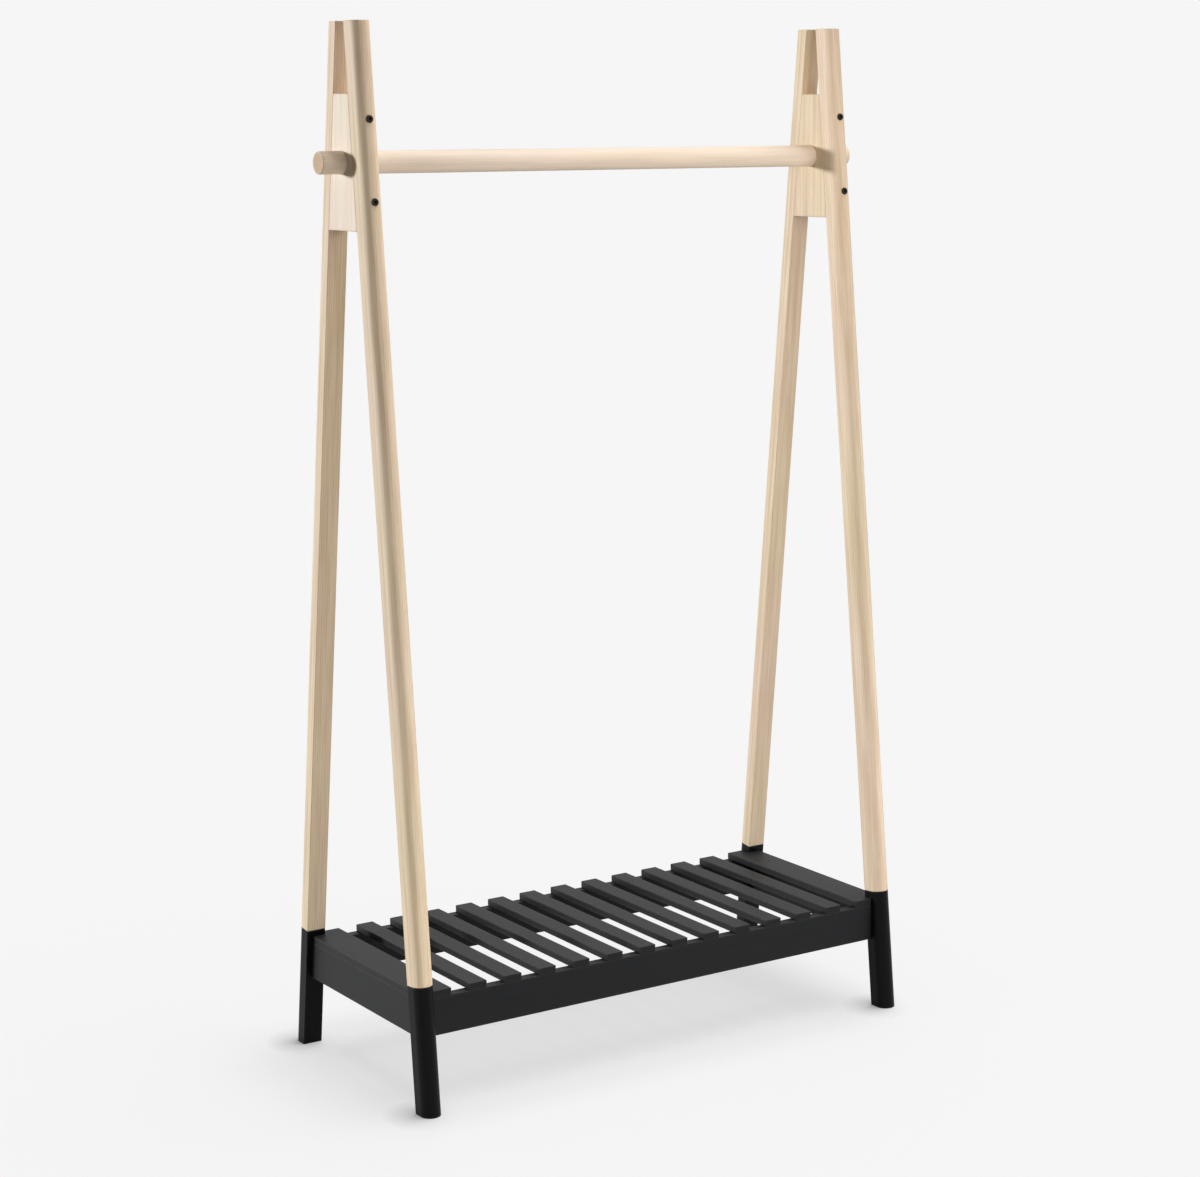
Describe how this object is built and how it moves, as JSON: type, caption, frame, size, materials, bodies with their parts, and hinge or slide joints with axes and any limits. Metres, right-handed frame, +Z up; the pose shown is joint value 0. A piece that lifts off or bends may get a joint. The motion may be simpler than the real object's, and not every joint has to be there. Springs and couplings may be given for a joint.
{
  "type": "clothes rack",
  "caption": "Free-standing clothes rack: A-shaped end frames of pale wood with wedge head blocks, a round rail through them, and a black base with a low slatted shelf.",
  "frame": {"origin": "on the floor, midway between the two end frames and between the front and rear feet", "axes": "+X along the hanging rail to the right end frame, +Y from front to rear, +Z up; the front is the side the picture shows"},
  "size_m": [0.916, 0.3964, 1.5],
  "materials": {
    "pale_wood": "clear matt lacquer on pale straight-grained softwood",
    "black_paint": "satin black paint on wood, grain just showing",
    "black_steel": "black oxide bolt heads with a hexagon socket",
    "plated_steel": "zinc-plated threaded inserts and studs",
    "dowel_wood": "bare beech dowels"
  },
  "bodies": {
    "root": {"left_front_upper_leg": "pale_wood", "left_rear_upper_leg": "pale_wood", "right_front_upper_leg": "pale_wood", "right_rear_upper_leg": "pale_wood", "left_front_lower_leg": "black_paint", "left_rear_lower_leg": "black_paint", "right_front_lower_leg": "black_paint", "right_rear_lower_leg": "black_paint", "left_head_block": "pale_wood", "right_head_block": "pale_wood", "hanging_rail": "pale_wood", "left_head_bolts": "black_steel", "right_head_bolts": "black_steel", "left_block_inserts": "plated_steel", "right_block_inserts": "plated_steel", "leg_joint_studs": "plated_steel", "leg_joint_inserts": "plated_steel", "front_apron": "black_paint", "rear_apron": "black_paint", "left_apron": "black_paint", "right_apron": "black_paint", "left_end_slat": "black_paint", "right_end_slat": "black_paint", "slat_01": "black_paint", "slat_02": "black_paint", "slat_03": "black_paint", "slat_04": "black_paint", "slat_05": "black_paint", "slat_06": "black_paint", "slat_07": "black_paint", "slat_08": "black_paint", "slat_09": "black_paint", "slat_10": "black_paint", "slat_11": "black_paint", "slat_12": "black_paint", "apron_dowels": "dowel_wood", "slat_pins": "dowel_wood"}
  },
  "joints": []
}
